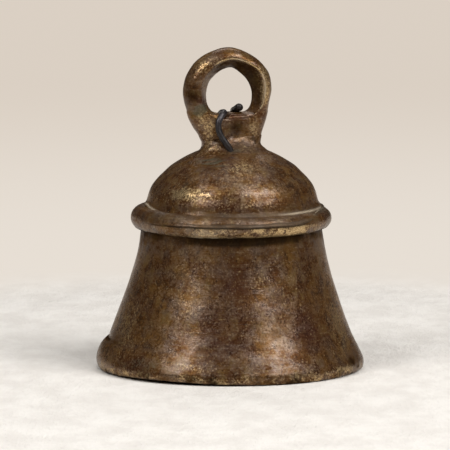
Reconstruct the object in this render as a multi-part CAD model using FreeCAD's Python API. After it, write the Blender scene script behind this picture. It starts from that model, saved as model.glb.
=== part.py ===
import FreeCAD, Part
import math
import os

# Brass puja bell that stands on its rim: a flared bell with a rolled bead at its shoulder, a domed
# crown and a thick hanging loop. A black iron wire is looped over the saddle of the loop, goes down
# through two holes in the crown and carries the clapper inside.
#
# Millimetres. The origin is at the middle of the rim, on the plane that the bell stands on, +Z is up,
# and the loop's hole is seen from -Y. The whole bell leans a little to +X, and its rim is cut level.

Vector = FreeCAD.Vector

# Driving dimensions: the bell
RIM_RADIUS = 40.05          # widest point of the lip
RIM_INNER = 35.6            # inner edge of the face that the bell stands on
SKIRT_TOP = 42.6            # height of the seat under the bead
SKIRT_TOP_RADIUS = 26.9
BORE = 23.5                 # inner radius at the shoulder
BEAD_RADIUS = 3.3           # radius of the bead's round section
BEAD_TIP = 30.1             # radius of the whole bead
BEAD_HEIGHT = 45.5          # height of the bead's middle
FLANGE_SEAT = 47.4          # height of the seat under the crown's flange
FLANGE_RADIUS = 28.2
FLANGE_THICK = 1.8
CROWN_TOP = 65.4            # height of the flat seat under the neck
CROWN_FLAT = 11.3           # radius of that seat
CROWN_INNER_TOP = 62.2
LEAN = 0.5                  # lean of the bell's axis to +X, degrees
CROWN_OFFSET = 0.3          # how far the crown sits off the axis, to +X

# Driving dimensions: the hanging loop
LOOP_YAW = 12.0             # turn of the loop about the vertical, degrees
LOOP_DEPTH = 4.6            # half the depth of the ring, from its middle plane to its ridges
RIDGE_SHARE = 0.12          # half width of a ridge, as a share of the ring's face
NECK_DEPTH = 6.0            # half the depth of the neck at its foot
NECK_HALF = 8.7             # half the width of the neck at its foot
NECK_X = 0.55               # middle of the neck, in the loop's own plane
LOOP_SHIFT = 0.65           # how far the loop was set to -X, which makes up for the lean

# Driving dimensions: the iron wire and the clapper
WIRE_RADIUS = 1.1
HOLE_CLEARANCE = 0.2        # radial room of the wire in the crown's holes
HANG_X = 0.8                # the clapper hangs on the leaning axis of the crown
STRAND_Y = 7.3              # distance of the wire's two strands from the middle, at the crown
BAR_Z = 57.6                # height of the middle of the wire's lower bend
BAR_BEND = 3.6
LINK_MAJOR = 3.6
LINK_MINOR = 1.0
EYE_MAJOR = 2.6
EYE_MINOR = 1.0
SLACK = 0.05                # gap between a ring and what it hangs on
STEM_RADIUS = 1.5
BALL_RADIUS = 9.0
BALL_Z = 14.5


def smooth(points):
    """One smooth edge through (radius, height) points in the XZ plane."""
    curve = Part.BSplineCurve()
    curve.interpolate([Vector(r, 0, z) for r, z in points])
    return curve.toShape()


def straight(*points):
    """Straight edges through (radius, height) points in the XZ plane."""
    corners = [Vector(r, 0, z) for r, z in points]
    return [Part.LineSegment(a, b).toShape() for a, b in zip(corners, corners[1:])]


def turned(edges):
    """The solid swept by a closed profile in the XZ plane about the Z axis."""
    face = Part.Face(Part.Wire(Part.__sortEdges__(edges)))
    solid = face.revolve(Vector(), Vector(0, 0, 1), 360)
    return solid


def leaned(solid, offset=0.0):
    """The solid moved sideways off the bell's axis, then leaned with the bell."""
    solid.translate(Vector(offset, 0, 0))
    solid.rotate(Vector(), Vector(0, 1, 0), LEAN)
    return solid


def bent_rod(points, radius, bend):
    """A round rod along straight runs joined by tangent arcs, no wider than the runs allow."""
    edges = []
    start = points[0]
    for before, corner, after in zip(points, points[1:], points[2:]):
        back = Vector(before - corner).normalize()
        ahead = Vector(after - corner).normalize()
        half_turn = (math.pi - back.getAngle(ahead)) / 2
        room = 0.45 * min((corner - before).Length, (after - corner).Length)
        arc = min(bend, room / math.tan(half_turn))
        reach = arc * math.tan(half_turn)
        inward = Vector(back + ahead).normalize()
        arc_start = corner + back * reach
        arc_middle = corner + inward * (arc / math.cos(half_turn) - arc)
        arc_end = corner + ahead * reach
        edges.append(Part.LineSegment(start, arc_start).toShape())
        edges.append(Part.Arc(arc_start, arc_middle, arc_end).toShape())
        start = arc_end
    edges.append(Part.LineSegment(start, points[-1]).toShape())
    path = Part.Wire(edges)
    section = Part.Wire(Part.Circle(points[0], points[1] - points[0], radius).toShape())
    return path.makePipeShell([section], True, False)


def below_floor():
    """Everything under the plane that the bell stands on."""
    return Part.makeBox(200, 200, 20, Vector(-100, -100, -20))


def bell_skirt():
    """The flared bell from the rim to the seat under the bead, hollow and open at the bottom."""
    outside = smooth([
        (38.9, -0.6), (39.9, 1.0), (RIM_RADIUS, 2.4), (38.9, 6.3), (36.6, 10.0),
        (34.0, 17.0), (30.6, 27.0), (28.1, 35.5), (SKIRT_TOP_RADIUS, SKIRT_TOP),
    ])
    inside = smooth([
        (RIM_INNER, -0.6), (34.6, 4.0), (32.7, 11.0), (30.6, 17.5), (27.3, 27.0),
        (24.9, 35.5), (BORE + 0.1, SKIRT_TOP),
    ])
    bottom = straight((RIM_INNER, -0.6), (38.9, -0.6))
    top = straight((BORE + 0.1, SKIRT_TOP), (SKIRT_TOP_RADIUS, SKIRT_TOP))
    return leaned(turned([outside, inside] + bottom + top)).cut(below_floor())


def shoulder_bead():
    """The rolled bead round the shoulder, flat where it meets the skirt and the crown."""
    middle = BEAD_TIP - BEAD_RADIUS

    def chord(z):
        return middle + math.sqrt(BEAD_RADIUS**2 - (z - BEAD_HEIGHT) ** 2)

    low = Vector(chord(SKIRT_TOP), 0, SKIRT_TOP)
    high = Vector(chord(FLANGE_SEAT), 0, FLANGE_SEAT)
    round_side = Part.Arc(low, Vector(BEAD_TIP, 0, BEAD_HEIGHT), high).toShape()
    flats = straight((high.x, FLANGE_SEAT), (BORE, FLANGE_SEAT), (BORE, SKIRT_TOP), (low.x, SKIRT_TOP))
    return leaned(turned([round_side] + flats))


def strand_hole(side):
    """The upright hole in the crown for one strand of the wire, in front (-1) or behind (1)."""
    foot = Vector(HANG_X, side * STRAND_Y, BAR_Z)
    return Part.makeCylinder(WIRE_RADIUS + HOLE_CLEARANCE, CROWN_TOP + 4 - BAR_Z, foot)


def crown_dome():
    """The hollow dome with its thin flange, with a hole for each strand of the wire."""
    flange_top = FLANGE_SEAT + FLANGE_THICK
    edge_middle = FLANGE_SEAT + FLANGE_THICK / 2
    edge_start = FLANGE_RADIUS - FLANGE_THICK / 2
    edge = Part.Arc(
        Vector(edge_start, 0, FLANGE_SEAT),
        Vector(FLANGE_RADIUS, 0, edge_middle),
        Vector(edge_start, 0, flange_top),
    ).toShape()
    outside = smooth([
        (25.9, flange_top), (25.4, 51.0), (24.8, 53.4), (22.6, 57.1), (18.9, 60.7),
        (15.0, 63.4), (CROWN_FLAT, CROWN_TOP),
    ])
    inside = smooth([
        (0, CROWN_INNER_TOP), (8.0, 61.6), (14.2, 59.6), (18.9, 56.2), (21.6, 52.4), (22.4, 49.6),
        (BORE - 0.4, FLANGE_SEAT),
    ])
    flats = straight((BORE - 0.4, FLANGE_SEAT), (edge_start, FLANGE_SEAT))
    flats += straight((edge_start, flange_top), (25.9, flange_top))
    flats += straight((CROWN_FLAT, CROWN_TOP), (0, CROWN_TOP), (0, CROWN_INNER_TOP))
    dome = leaned(turned([edge, outside, inside] + flats), CROWN_OFFSET)
    return dome.cut(strand_hole(-1)).cut(strand_hole(1))


def seam_solder():
    """The bead of solder run into the corner between the crown's flange and the shoulder bead."""
    foot = 29.1
    shoulder = FLANGE_RADIUS - 0.25
    corner = FLANGE_RADIUS - FLANGE_THICK / 2
    flange_edge = Part.Arc(
        Vector(corner, 0, FLANGE_SEAT),
        Vector(FLANGE_RADIUS - 0.26, 0, FLANGE_SEAT + 0.26),
        Vector(FLANGE_RADIUS, 0, FLANGE_SEAT + FLANGE_THICK / 2),
    ).toShape()
    face = Part.Arc(
        Vector(FLANGE_RADIUS, 0, FLANGE_SEAT + FLANGE_THICK / 2),
        Vector(shoulder + 0.75, 0, FLANGE_SEAT + 0.5),
        Vector(foot, 0, FLANGE_SEAT),
    ).toShape()
    bottom = straight((corner, FLANGE_SEAT), (foot, FLANGE_SEAT))
    return leaned(turned([flange_edge, face] + bottom), CROWN_OFFSET)


# The hanging loop, seen square on: at each place round it, in (sideways, height) on its own middle
# plane, the outer edge, the sharp ridge of its front and back, and the edge of the hole.
LOOP_STATIONS = [
    ((-1.2, 97.0), (-0.8, 94.6), (-0.5, 91.1)),
    ((-6.6, 95.6), (-4.7, 92.9), (-3.2, 89.5)),
    ((-10.9, 92.3), (-8.8, 90.0), (-6.0, 87.4)),
    ((-13.5, 88.2), (-10.9, 86.9), (-7.1, 85.2)),
    ((-14.3, 83.4), (-10.8, 83.2), (-7.5, 82.5)),
    ((-13.4, 78.5), (-10.2, 80.2), (-7.0, 79.9)),
    ((-11.3, 73.5), (-8.4, 78.0), (-5.6, 77.9)),
    ((-6.0, 69.3), (-4.8, 75.8), (-3.0, 77.3)),
    ((0.4, 68.0), (0.3, 75.4), (0.2, 77.0)),
    ((7.0, 69.4), (5.0, 76.2), (3.2, 77.6)),
    ((10.5, 74.0), (7.7, 78.6), (5.4, 79.0)),
    ((11.7, 79.5), (9.0, 82.2), (6.5, 81.9)),
    ((12.4, 84.5), (9.4, 86.2), (6.2, 84.4)),
    ((11.5, 89.2), (8.4, 89.8), (5.1, 87.0)),
    ((8.1, 93.4), (5.2, 92.2), (3.0, 89.2)),
    ((3.6, 96.1), (2.0, 94.1), (1.3, 90.6)),
]


def loop_outline(which, share, depth):
    """A closed outline at one depth, between the ridge (share 0) and the outer edge or hole (1)."""
    points = []
    for station in LOOP_STATIONS:
        far, ridge = station[which], station[1]
        sideways = ridge[0] + share * (far[0] - ridge[0])
        height = ridge[1] + share * (far[1] - ridge[1])
        points.append(Vector(sideways, depth, height))
    curve = Part.BSplineCurve()
    curve.interpolate(points, PeriodicFlag=True)
    return Part.Wire(curve.toShape())


def ellipse_wire(x, z, half_width, half_depth):
    """A level ellipse, for the neck and the fillet round its foot."""
    ellipse = Part.Ellipse(Vector(x, 0, z), half_width, half_depth)
    return Part.Wire(ellipse.toShape())


def neck():
    """The neck, which widens into the two legs of the loop."""
    return Part.makeLoft([
        ellipse_wire(NECK_X, CROWN_TOP, NECK_HALF, NECK_DEPTH),
        ellipse_wire(NECK_X, 68.2, NECK_HALF + 0.1, 5.7),
        ellipse_wire(-0.3, 72.4, 10.3, 5.1),
        ellipse_wire(-0.7, 75.6, 11.0, 4.5),
    ], True)


def suspension_loop():
    """The ring and its neck in one casting: round outside, with a ridge and a bevel to the hole."""
    ring_sections = []
    for step in (-1.0, -0.86, -0.5, 0.0, 0.5, 0.86, 1.0):
        share = RIDGE_SHARE + (1 - RIDGE_SHARE) * math.sqrt(1 - step * step)
        ring_sections.append(loop_outline(0, share, step * LOOP_DEPTH))
    hole_sections = []
    for step in (-1.05, -0.5, 0.0, 0.5, 1.05):
        share = RIDGE_SHARE + (1 - RIDGE_SHARE) * (1 - abs(step) / 1.05)
        hole_sections.append(loop_outline(2, share, step * LOOP_DEPTH))
    ring = Part.makeLoft(ring_sections, True).fuse(neck())
    loop = ring.cut(Part.makeLoft(hole_sections, True))
    loop.rotate(Vector(), Vector(0, 0, 1), LOOP_YAW)
    return leaned(loop, -LOOP_SHIFT)


def neck_braze(loop):
    """The fillet of brazing metal round the foot of the neck."""
    collar = Part.makeLoft([
        ellipse_wire(NECK_X, CROWN_TOP, NECK_HALF + 2.2, NECK_DEPTH + 2.6),
        ellipse_wire(NECK_X, CROWN_TOP + 0.9, NECK_HALF + 1.1, NECK_DEPTH + 1.2),
        ellipse_wire(NECK_X, CROWN_TOP + 2.7, NECK_HALF + 0.2, NECK_DEPTH - 0.2),
    ], True)
    collar.rotate(Vector(), Vector(0, 0, 1), LOOP_YAW)
    wire_room = hanger_wire(WIRE_RADIUS + HOLE_CLEARANCE)
    return leaned(collar, -LOOP_SHIFT).cut(loop).cut(wire_room)


def hanger_route():
    """The wire from its hidden end behind the neck, over the saddle, through the crown and back."""
    return [
        Vector(-2.9, 7.0, 72.6),
        Vector(-3.1, 6.5, 75.8),
        Vector(-2.4, 3.0, 78.75),
        Vector(-2.5, -3.0, 78.75),
        Vector(-3.2, -6.4, 76.4),
        Vector(-3.9, -7.3, 73.4),
        Vector(HANG_X, -STRAND_Y, CROWN_TOP + 0.8),
        Vector(HANG_X, -STRAND_Y, BAR_Z),
        Vector(HANG_X, STRAND_Y, BAR_Z),
        Vector(HANG_X, STRAND_Y, CROWN_TOP + 1.2),
        Vector(0.4, 7.1, 71.5),
        Vector(-0.4, 6.3, 76.5),
        Vector(2.2, 0.8, 79.2),
    ]


def hanger_wire(radius):
    """The iron wire, or with a larger radius the room that it needs."""
    route = hanger_route()
    rod = bent_rod(route, radius, BAR_BEND)
    blunt_end = Part.makeSphere(radius * 1.2, route[-1])
    return rod.fuse(blunt_end)


def link_centre():
    return Vector(HANG_X, 0, BAR_Z + WIRE_RADIUS + SLACK - (LINK_MAJOR - LINK_MINOR))


def eye_centre():
    link_bottom = link_centre().z - LINK_MAJOR
    return Vector(HANG_X, 0, link_bottom + LINK_MINOR + SLACK - (EYE_MAJOR - EYE_MINOR))


def clapper_link():
    """The iron ring that hangs on the lower bend of the wire."""
    return Part.makeTorus(LINK_MAJOR, LINK_MINOR, link_centre(), Vector(0, 1, 0))


def clapper_stem():
    """The rod of the clapper, bent into an eye at the top."""
    centre = eye_centre()
    eye = Part.makeTorus(EYE_MAJOR, EYE_MINOR, centre, Vector(1, 0, 0))
    shank_top = centre.z - EYE_MAJOR
    shank = Part.makeCylinder(STEM_RADIUS, shank_top - BALL_Z, Vector(HANG_X, 0, BALL_Z))
    shoulder = Part.makeCone(STEM_RADIUS, EYE_MINOR * 0.9, 1.2, Vector(HANG_X, 0, shank_top))
    solid = shank.fuse([shoulder, eye])
    hole = Part.makeCylinder(EYE_MAJOR - EYE_MINOR, 10, centre - Vector(5, 0, 0), Vector(1, 0, 0))
    return solid.cut(hole)


def clapper_ball():
    """The round striker, cast round the foot of the stem."""
    ball = Part.makeSphere(BALL_RADIUS, Vector(HANG_X, 0, BALL_Z))
    collar = Part.makeCone(4.2, 2.4, 3.4, Vector(HANG_X, 0, BALL_Z + BALL_RADIUS - 1.4))
    socket = Part.makeCylinder(STEM_RADIUS, 2 * BALL_RADIUS, Vector(HANG_X, 0, BALL_Z))
    return ball.fuse(collar).cut(socket)


def main():
    loop = suspension_loop()
    pieces = {
        "bell_skirt": bell_skirt(),
        "shoulder_bead": shoulder_bead(),
        "crown_dome": crown_dome(),
        "seam_solder": seam_solder(),
        "suspension_loop": loop,
        "neck_braze": neck_braze(loop),
        "hanger_wire": hanger_wire(WIRE_RADIUS),
        "clapper_link": clapper_link(),
        "clapper_stem": clapper_stem(),
        "clapper_ball": clapper_ball(),
    }
    os.makedirs("parts", exist_ok=True)
    for name, shape in pieces.items():
        solids = shape.Solids
        whole = solids[0] if len(solids) == 1 else shape
        whole.exportStep(f"parts/{name}.step")
        box = whole.BoundBox
        print(f"{name}: {len(solids)} solid, valid {whole.isValid()}, {whole.Volume:.1f} mm3,"
              f" z {box.ZMin:.2f} to {box.ZMax:.2f}")


main()
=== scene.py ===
import itertools
import math

import bpy
import numpy as np
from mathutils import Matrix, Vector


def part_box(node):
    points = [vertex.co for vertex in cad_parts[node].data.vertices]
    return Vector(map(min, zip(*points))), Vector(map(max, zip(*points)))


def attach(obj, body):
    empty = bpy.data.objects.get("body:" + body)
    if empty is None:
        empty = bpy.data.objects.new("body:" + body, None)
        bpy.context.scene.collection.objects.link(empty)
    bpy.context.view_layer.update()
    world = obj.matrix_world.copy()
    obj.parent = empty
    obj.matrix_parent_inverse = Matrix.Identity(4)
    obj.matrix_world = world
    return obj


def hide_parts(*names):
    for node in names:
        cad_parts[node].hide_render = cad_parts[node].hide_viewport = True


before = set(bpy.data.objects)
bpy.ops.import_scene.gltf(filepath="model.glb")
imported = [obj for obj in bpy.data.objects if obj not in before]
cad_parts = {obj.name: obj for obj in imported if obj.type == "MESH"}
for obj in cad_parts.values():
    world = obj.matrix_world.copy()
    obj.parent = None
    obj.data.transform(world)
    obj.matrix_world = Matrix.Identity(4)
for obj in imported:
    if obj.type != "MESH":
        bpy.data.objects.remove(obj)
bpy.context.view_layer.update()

import openvdb

# The brass puja bell. Shapes are worked out in millimetres in the frame of the CAD model, with the
# bell's front at -Y, and go into the meshes in metres. Angles round the bell are in degrees from +X.

MM = 0.001
LEAN = 0.0125            # how far the bell's axis moves to +X per millimetre of height
LOOP_YAW = math.radians(12.0)


def box_mm(node):
    """The lowest and highest corner of a CAD node, in millimetres."""
    low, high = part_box(node)
    return np.array(low) / MM, np.array(high) / MM


skirt_low, skirt_high = box_mm("bell_skirt")
bead_low, bead_high = box_mm("shoulder_bead")
ball_low, ball_high = box_mm("clapper_ball")
link_low, link_high = box_mm("clapper_link")
stem_low, stem_high = box_mm("clapper_stem")

RIM = (skirt_high[0] - skirt_low[0]) / 2
BEAD_TIP = (bead_high[0] - bead_low[0]) / 2
BEAD_Z = (bead_low[2] + bead_high[2]) / 2 + 0.4
SHOULDER = BEAD_Z - 2.9              # where the skirt goes under the bead
BEAD_RADIUS = 30.0                   # the bead's mean radius
SEAM_RADIUS = 28.0                   # the mean radius of the seam between crown and bead
GROOVE_Z = 45.45                     # the dark groove below the crown's flange in front


# ---------------- random surfaces

CELL_PRIMES = (73856093, 19349663, 83492791)
SEED_PRIME, FIRST_STIR, SECOND_STIR = 668265263, 1274126177, 1103515245
LOW_BITS = 0x7FFFFFFF


def hashed(cell, seed):
    """A random value from -1 to 1 for each whole-number cell."""
    mixed = cell[..., 0] * CELL_PRIMES[0] ^ cell[..., 1] * CELL_PRIMES[1] ^ cell[..., 2] * CELL_PRIMES[2]
    mixed = (mixed ^ seed * SEED_PRIME) & LOW_BITS
    mixed = (mixed ^ mixed >> 13) * FIRST_STIR & LOW_BITS
    mixed = (mixed ^ mixed >> 15) * SECOND_STIR & LOW_BITS
    return (mixed >> 8 & 0xFFFF) / (0xFFFF / 2) - 1


def noise(points, size, seed):
    """Smooth random values from -1 to 1, with bumps about this size."""
    where = points / size
    cell = np.floor(where).astype(np.int64)
    part = where - cell
    part = part * part * (3 - 2 * part)
    total = np.zeros(len(points))
    for corner in itertools.product((0, 1), repeat=3):
        weight = np.prod(np.where(corner, part, 1 - part), axis=-1)
        total += weight * hashed(cell + np.array(corner), seed)
    return total


def fractal(points, size, seed, octaves=4):
    """Noise with finer and weaker noise added, from about -1 to 1."""
    total = sum(noise(points, size / 2**i, seed + 31 * i) / 2**i for i in range(octaves))
    return total / 1.5


def pits(points, size, seed):
    """1 at the middle of scattered pits, falling to 0 between them."""
    scatter, reach = 0.45, 0.45
    where = points / size
    cell = np.floor(where).astype(np.int64)
    nearest = np.full(len(points), 9.0)
    for step in itertools.product((-1, 0, 1), repeat=3):
        near = cell + np.array(step)
        jitter = np.stack([hashed(near, seed + axis) for axis in range(3)], axis=-1)
        spot = near + 0.5 + scatter * jitter
        nearest = np.minimum(nearest, np.linalg.norm(where - spot, axis=-1))
    return np.clip(1 - nearest / reach, 0, 1) ** 2


def rise(value, start, end):
    """0 before start, 1 after end, smooth between them."""
    share = np.clip((value - start) / (end - start), 0, 1)
    return share * share * (3 - 2 * share)


def hump(value, middle, half_width):
    """1 at the middle, falling smoothly to 0 about twice the half width away."""
    return np.exp(-(((value - middle) / half_width) ** 2))


def blob(points, centre, reach):
    """1 at a place on the object, falling to 0 around it. reach is in millimetres along X, Y and Z."""
    off = (points - np.array(centre)) / np.array(reach)
    return np.exp(-np.sum(off * off, axis=-1))


def blobs(points, *spots):
    """The sum of blobs, each given as (strength, centre, reach)."""
    return sum(strength * blob(points, centre, reach) for strength, centre, reach in spots)


def turn_of(points):
    """The angle of each point round the bell's axis, in degrees."""
    return np.degrees(np.arctan2(points[:, 1], points[:, 0] - LEAN * points[:, 2]))


def turn_hump(points, middle, half_width):
    """A hump over the angle round the bell."""
    away = (turn_of(points) - middle + 180) % 360 - 180
    return np.exp(-((away / half_width) ** 2))


# ---------------- meshes

def smooth_line(points, step):
    """Points about one step apart along a smooth line through the given points."""
    points = np.array(points, float)
    before = np.vstack([2 * points[0] - points[1], points[:-2]])
    after = np.vstack([points[2:], 2 * points[-1] - points[-2]])
    line = []
    for p0, p1, p2, p3 in zip(before, points[:-1], points[1:], after):
        length = np.linalg.norm(p2 - p1)
        into = (p2 - p0) * length / (np.linalg.norm(p1 - p0) + length)
        out = (p3 - p1) * length / (np.linalg.norm(p3 - p2) + length)
        count = max(2, int(round(length / step)))
        for t in np.arange(count) / count:
            line.append(
                (2 * t**3 - 3 * t**2 + 1) * p1 + (t**3 - 2 * t**2 + t) * into
                + (3 * t**2 - 2 * t**3) * p2 + (t**3 - t**2) * out
            )
    line.append(points[-1])
    return np.array(line)


def make_mesh(name, points, faces):
    """A smooth mesh from points in millimetres and its quads, with the quads turned outwards."""
    mesh = bpy.data.meshes.new(name)
    sides = faces.shape[1]
    a, b, c = (points[faces[:, i]] for i in range(3))
    if np.einsum("ij,ij->i", a, np.cross(b, c)).sum() < 0:
        faces = faces[:, ::-1]
    mesh.vertices.add(len(points))
    mesh.vertices.foreach_set("co", (points * MM).ravel())
    mesh.loops.add(faces.size)
    mesh.loops.foreach_set("vertex_index", faces.ravel().astype(np.int32))
    mesh.polygons.add(len(faces))
    mesh.polygons.foreach_set("loop_start", np.arange(0, faces.size, sides, dtype=np.int32))
    mesh.update(calc_edges=True)
    mesh.validate()
    mesh.shade_smooth()
    piece = bpy.data.objects.new(name, mesh)
    bpy.context.scene.collection.objects.link(piece)
    return piece


def points_of(piece):
    """The vertices and vertex normals of a piece, in millimetres."""
    mesh = piece.data
    flat = np.empty(3 * len(mesh.vertices))
    mesh.vertices.foreach_get("co", flat)
    normals = np.empty(3 * len(mesh.vertices))
    mesh.vertex_normals.foreach_get("vector", normals)
    return flat.reshape(-1, 3) / MM, normals.reshape(-1, 3)


def set_points(piece, points):
    piece.data.vertices.foreach_set("co", (points * MM).ravel())
    piece.data.update()


def roughened(piece, height):
    """Moves the surface along its normals by height(points), and gives its new points and normals."""
    points, normals = points_of(piece)
    set_points(piece, points + normals * height(points)[:, None])
    return points_of(piece)


def polar(radius, angle, z):
    """Points at this radius, angle in radians and height."""
    return np.stack([radius * np.cos(angle), radius * np.sin(angle), z], axis=-1)


def leaned(points):
    """The points moved to +X with height, as the bell leans."""
    return points + np.outer(LEAN * points[:, 2], [1, 0, 0])


def band_faces(rows, columns, closed):
    """The quads between rings of points. closed joins the last ring to the first."""
    row, column = np.meshgrid(np.arange(rows if closed else rows - 1), np.arange(columns), indexing="ij")
    next_row, next_column = (row + 1) % rows, (column + 1) % columns
    return np.stack([
        row * columns + column, row * columns + next_column,
        next_row * columns + next_column, next_row * columns + column,
    ], axis=-1).reshape(-1, 4)


def turned_mesh(name, place, rows, segments):
    """A closed surface round an axis.

    place gets each point's row along the outline and its angle in radians, and gives the points."""
    row, angle = np.meshgrid(np.arange(rows), np.arange(segments) * 2 * math.pi / segments, indexing="ij")
    return make_mesh(name, place(row.ravel(), angle.ravel()), band_faces(rows, segments, True))


def field_mesh(name, field, low, voxel):
    """The surface where a field of values, spaced one voxel apart from the low corner, is zero."""
    grid = openvdb.FloatGrid(3.0)
    grid.copyFromArray(field.astype(np.float32))
    grid.transform = openvdb.createLinearTransform(voxel)
    points, quads = grid.convertToQuads(0.0)
    return make_mesh(name, points + low, quads.astype(int))


def relaxed(piece, rounds):
    """Evens out the steps that a grid of voxels leaves, without shrinking the shape."""
    mesh = piece.data
    edges = np.empty(2 * len(mesh.edges), int)
    mesh.edges.foreach_get("vertices", edges)
    edges = edges.reshape(-1, 2)
    points, _ = points_of(piece)
    count = np.bincount(edges.ravel(), minlength=len(points))[:, None]
    pull_in, push_out = 0.5, -0.52
    for turn in range(2 * rounds):
        total = np.zeros_like(points)
        np.add.at(total, edges[:, 0], points[edges[:, 1]])
        np.add.at(total, edges[:, 1], points[edges[:, 0]])
        points = points + (pull_in, push_out)[turn % 2] * (total / count - points)
    set_points(piece, points)


def tube_mesh(name, route, radii, sides, step, seed, flatten=0.0):
    """A round rod along a smooth route, with domed ends. radii holds one radius for each route point."""
    line = smooth_line([(*place, radius) for place, radius in zip(route, radii)], step)
    path, radius = line[:, :3], line[:, 3]
    ahead = np.gradient(path, axis=0)
    ahead /= np.linalg.norm(ahead, axis=1)[:, None]
    side = np.cross(ahead[0], (0.3, 0.2, 0.9))
    sideways = []
    for forward in ahead:
        side = side - forward * side.dot(forward)
        side /= np.linalg.norm(side)
        sideways.append((side, np.cross(forward, side)))
    angles = np.arange(sides) * 2 * math.pi / sides
    dome = [(share, math.sqrt(1 - share**2)) for share in (0.15, 0.45, 0.7, 0.88, 0.97)]
    points = []

    def ring(station, share=1.0, shift=0.0):
        """Adds a ring with this share of the rod's radius, moved ahead by a share of it."""
        across, up = sideways[station]
        r = radius[station] * share
        middle = path[station] + ahead[station] * shift * radius[station]
        points.extend(middle + r * (np.cos(angles)[:, None] * across * (1 + flatten)
                                    + np.sin(angles)[:, None] * up * (1 - flatten)))

    for share, out in dome:
        ring(0, share, -out)
    for station in range(len(path)):
        ring(station)
    for share, out in reversed(dome):
        ring(-1, share, out)
    rows = len(points) // sides
    c = np.arange(sides // 2 - 1)
    cap = np.stack([c + 1, c, sides - 1 - c, sides - 2 - c], axis=-1)
    faces = np.vstack([band_faces(rows, sides, False), cap, (rows - 1) * sides + cap[:, ::-1]])
    piece = make_mesh(name, np.array(points), faces)
    roughened(piece, lambda p: 0.05 * fractal(p, 2.2, seed) + 0.02 * noise(p, 0.5, seed + 5))
    return piece


# ---------------- marks on the surface

def paint(piece, **marks):
    """Stores each mark, a value from 0 to 1 at each vertex, for the materials to read."""
    for name, values in marks.items():
        layer = piece.data.attributes.new(name, "FLOAT", "POINT")
        layer.data.foreach_set("value", np.clip(values, 0, 1).astype(np.float32))


def paint_patina(piece, points, wear, dirt, red, green):
    """Stores the marks of old brass, with their edges broken up."""
    broken, fine = fractal(points, 3.2, 71), fractal(points, 1.1, 77)
    paint(
        piece, wear=wear * (1 + 0.55 * broken + 0.3 * fine), dirt=dirt * (1 + 0.5 * broken),
        red=red * (1 + 0.6 * fractal(points, 7.0, 79)), green=green * (1 + 0.9 * broken + 0.5 * fine),
    )


# ---------------- the bell

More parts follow.
